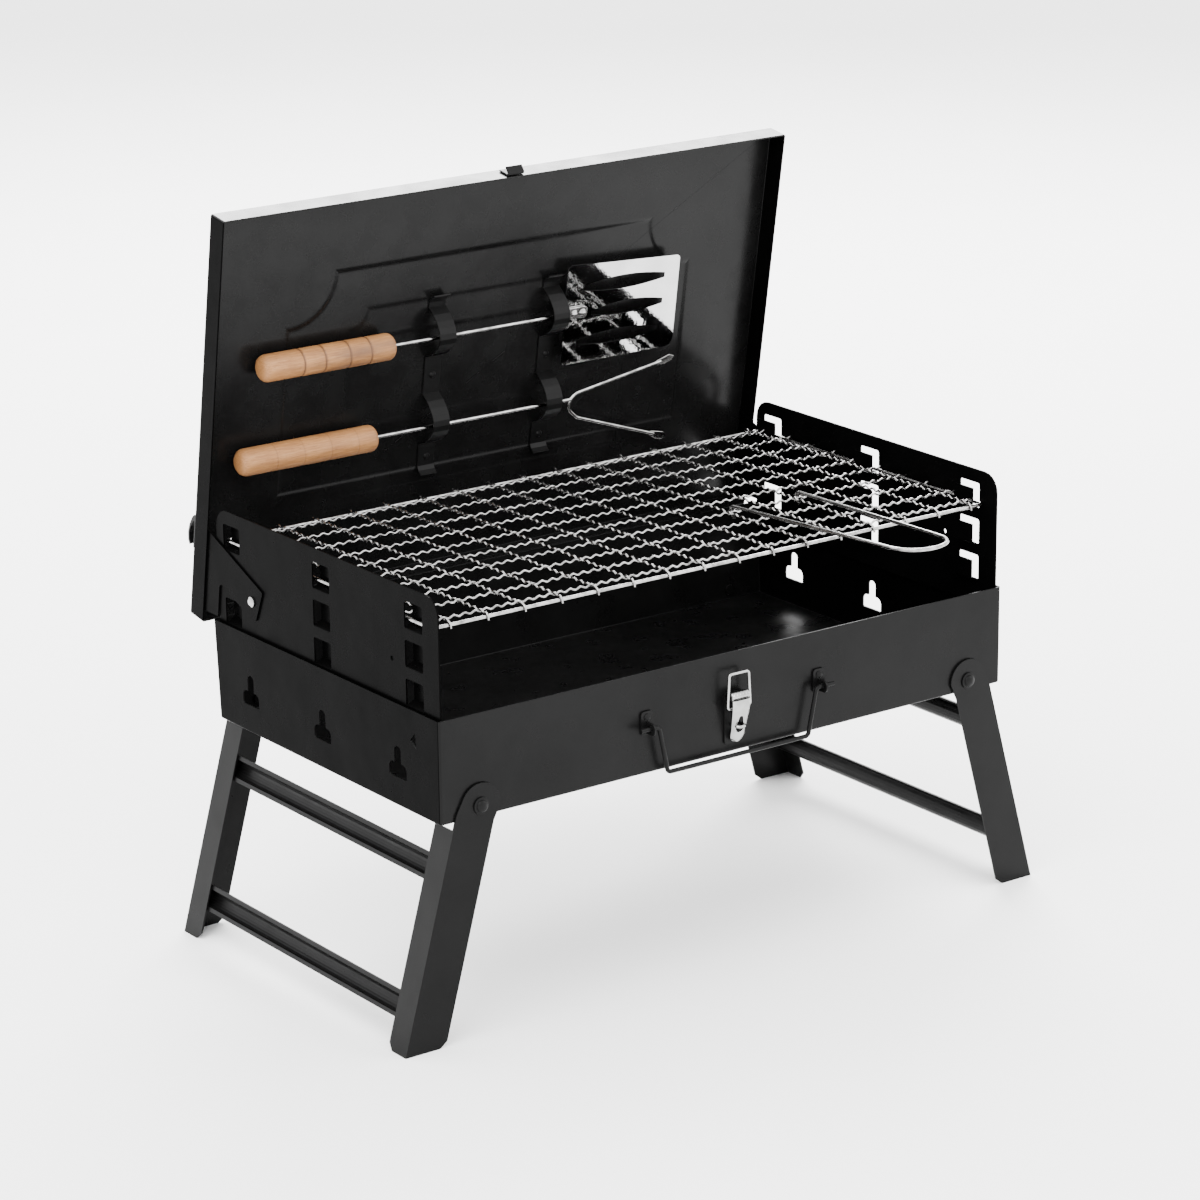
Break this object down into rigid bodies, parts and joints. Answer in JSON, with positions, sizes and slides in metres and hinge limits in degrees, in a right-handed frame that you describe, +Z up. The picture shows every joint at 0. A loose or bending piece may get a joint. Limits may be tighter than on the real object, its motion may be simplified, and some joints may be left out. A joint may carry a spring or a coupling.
{
  "type": "folding camp grill",
  "caption": "Suitcase-style charcoal grill: steel firebox on splayed folding legs, wire grate on slotted side plates, hinged lid holding a spatula and a fork.",
  "frame": {"origin": "on the ground below the centre of the firebox", "axes": "+Z up, -Y towards the cook (the latch side), +X to the cook's right, along the firebox"},
  "size_m": [0.4888, 0.3605, 0.4651],
  "materials": {
    "carry_handle": "gloss black heat-resistant paint",
    "clip_rivet_high_left": "gloss black heat-resistant paint",
    "clip_rivet_high_right": "gloss black heat-resistant paint",
    "clip_rivet_low_left": "gloss black heat-resistant paint",
    "clip_rivet_low_right": "gloss black heat-resistant paint",
    "cross_bar_lower_left": "gloss black heat-resistant paint",
    "cross_bar_lower_right": "gloss black heat-resistant paint",
    "cross_bar_upper_left": "gloss black heat-resistant paint",
    "cross_bar_upper_right": "gloss black heat-resistant paint",
    "fork_grip": "pale turned hardwood, scorched rings",
    "fork_rod": "bright plated steel",
    "grate": "plain bright steel",
    "grate_grip": "plain bright steel",
    "handle_lug_left": "gloss black heat-resistant paint",
    "handle_lug_right": "gloss black heat-resistant paint",
    "latch_bail": "bright plated steel",
    "latch_base": "gloss black heat-resistant paint",
    "latch_lever": "bright plated steel",
    "latch_pin": "bright plated steel",
    "latch_rivet_high": "bright plated steel",
    "latch_rivet_low": "bright plated steel",
    "latch_staple": "bright plated steel",
    "leg_back_left": "gloss black heat-resistant paint",
    "leg_back_right": "gloss black heat-resistant paint",
    "leg_front_left": "gloss black heat-resistant paint",
    "leg_front_right": "gloss black heat-resistant paint",
    "leg_rivet_back_left": "gloss black heat-resistant paint",
    "leg_rivet_back_right": "gloss black heat-resistant paint",
    "leg_rivet_front_left": "gloss black heat-resistant paint",
    "leg_rivet_front_right": "gloss black heat-resistant paint",
    "lid_bracket_left": "gloss black heat-resistant paint",
    "lid_bracket_right": "gloss black heat-resistant paint",
    "lid_catch": "gloss black heat-resistant paint",
    "lid_claw_left": "gloss black heat-resistant paint",
    "lid_claw_right": "gloss black heat-resistant paint",
    "lid_pan": "gloss black heat-resistant paint",
    "lid_rivet_left": "plain bright steel",
    "lid_rivet_right": "plain bright steel",
    "lug_rivet_left": "gloss black heat-resistant paint",
    "lug_rivet_right": "gloss black heat-resistant paint",
    "side_plate_left": "gloss black heat-resistant paint",
    "side_plate_right": "gloss black heat-resistant paint",
    "spatula_blade": "bright plated steel",
    "spatula_grip": "pale turned hardwood, scorched rings",
    "spatula_rivet_far": "bright plated steel",
    "spatula_rivet_near": "bright plated steel",
    "spatula_rod": "bright plated steel",
    "tool_clip_left": "gloss black heat-resistant paint",
    "tool_clip_right": "gloss black heat-resistant paint",
    "tray": "gloss black heat-resistant paint"
  },
  "bodies": {
    "tray": {"tray": "tray", "leg_rivet_back_left": "leg_rivet_back_left", "leg_rivet_back_right": "leg_rivet_back_right", "leg_rivet_front_left": "leg_rivet_front_left", "leg_rivet_front_right": "leg_rivet_front_right", "handle_lug_left": "handle_lug_left", "handle_lug_right": "handle_lug_right", "lug_rivet_left": "lug_rivet_left", "lug_rivet_right": "lug_rivet_right", "latch_base": "latch_base", "latch_pin": "latch_pin", "latch_staple": "latch_staple", "latch_rivet_high": "latch_rivet_high", "latch_rivet_low": "latch_rivet_low"},
    "side_frame": {"side_plate_left": "side_plate_left", "side_plate_right": "side_plate_right", "lid_rivet_left": "lid_rivet_left", "lid_rivet_right": "lid_rivet_right"},
    "lid": {"lid_pan": "lid_pan", "lid_bracket_left": "lid_bracket_left", "lid_bracket_right": "lid_bracket_right", "lid_catch": "lid_catch", "lid_claw_left": "lid_claw_left", "lid_claw_right": "lid_claw_right", "tool_clip_left": "tool_clip_left", "tool_clip_right": "tool_clip_right", "clip_rivet_high_left": "clip_rivet_high_left", "clip_rivet_high_right": "clip_rivet_high_right", "clip_rivet_low_left": "clip_rivet_low_left", "clip_rivet_low_right": "clip_rivet_low_right"},
    "grate": {"grate": "grate"},
    "grate_grip": {"grate_grip": "grate_grip"},
    "spatula": {"spatula_blade": "spatula_blade", "spatula_rod": "spatula_rod", "spatula_grip": "spatula_grip", "spatula_rivet_far": "spatula_rivet_far", "spatula_rivet_near": "spatula_rivet_near"},
    "fork": {"fork_rod": "fork_rod", "fork_grip": "fork_grip"},
    "leg_frame_left": {"leg_front_left": "leg_front_left", "leg_back_left": "leg_back_left", "cross_bar_upper_left": "cross_bar_upper_left", "cross_bar_lower_left": "cross_bar_lower_left"},
    "leg_frame_right": {"leg_front_right": "leg_front_right", "leg_back_right": "leg_back_right", "cross_bar_upper_right": "cross_bar_upper_right", "cross_bar_lower_right": "cross_bar_lower_right"},
    "carry_handle": {"carry_handle": "carry_handle"},
    "latch_lever": {"latch_lever": "latch_lever"},
    "latch_bail": {"latch_bail": "latch_bail"}
  },
  "joints": [
    {"name": "side_plate_lift", "type": "slide", "parent": "tray", "child": "side_frame", "axis": [0, 0, 1], "range_m": [0, 0.014]},
    {"name": "lid_hinge", "type": "hinge", "parent": "side_frame", "child": "lid", "pos_m": [0, 0.08, 0.224], "axis": [-1, 0, 0], "range_deg": [-80.5, 0]},
    {"name": "grate_lift", "type": "slide", "parent": "side_frame", "child": "grate", "axis": [0, 0, 1], "range_m": [0, 0.008]},
    {"name": "grate_grip_hinge", "type": "hinge", "parent": "grate", "child": "grate_grip", "pos_m": [0, -0.0362, 0.257], "axis": [-1, 0, 0], "range_deg": [0, 95]},
    {"name": "spatula_slide", "type": "slide", "parent": "lid", "child": "spatula", "axis": [1, 0, 0], "range_m": [0, 0.025]},
    {"name": "fork_slide", "type": "slide", "parent": "lid", "child": "fork", "axis": [1, 0, 0], "range_m": [0, 0.028]},
    {"name": "leg_fold_left", "type": "hinge", "parent": "tray", "child": "leg_frame_left", "pos_m": [-0.1874, 0, 0.1455], "axis": [0, -1, 0], "range_deg": [0, 105.5]},
    {"name": "leg_fold_right", "type": "hinge", "parent": "tray", "child": "leg_frame_right", "pos_m": [0.1874, 0, 0.1455], "axis": [0, 1, 0], "range_deg": [0, 105.5]},
    {"name": "carry_handle_swing", "type": "hinge", "parent": "tray", "child": "carry_handle", "pos_m": [0, -0.1306, 0.168], "axis": [-1, 0, 0], "range_deg": [0, 90]},
    {"name": "latch_lever_swing", "type": "hinge", "parent": "tray", "child": "latch_lever", "pos_m": [0, -0.1306, 0.1755], "axis": [-1, 0, 0], "range_deg": [0, 50]},
    {"name": "latch_bail_swing", "type": "hinge", "parent": "latch_lever", "child": "latch_bail", "pos_m": [0, -0.1308, 0.168], "axis": [-1, 0, 0], "range_deg": [-50, 0]}
  ],
  "couplings": [
    {"joint": "latch_bail_swing", "follows": "latch_lever_swing", "ratio": -1}
  ]
}
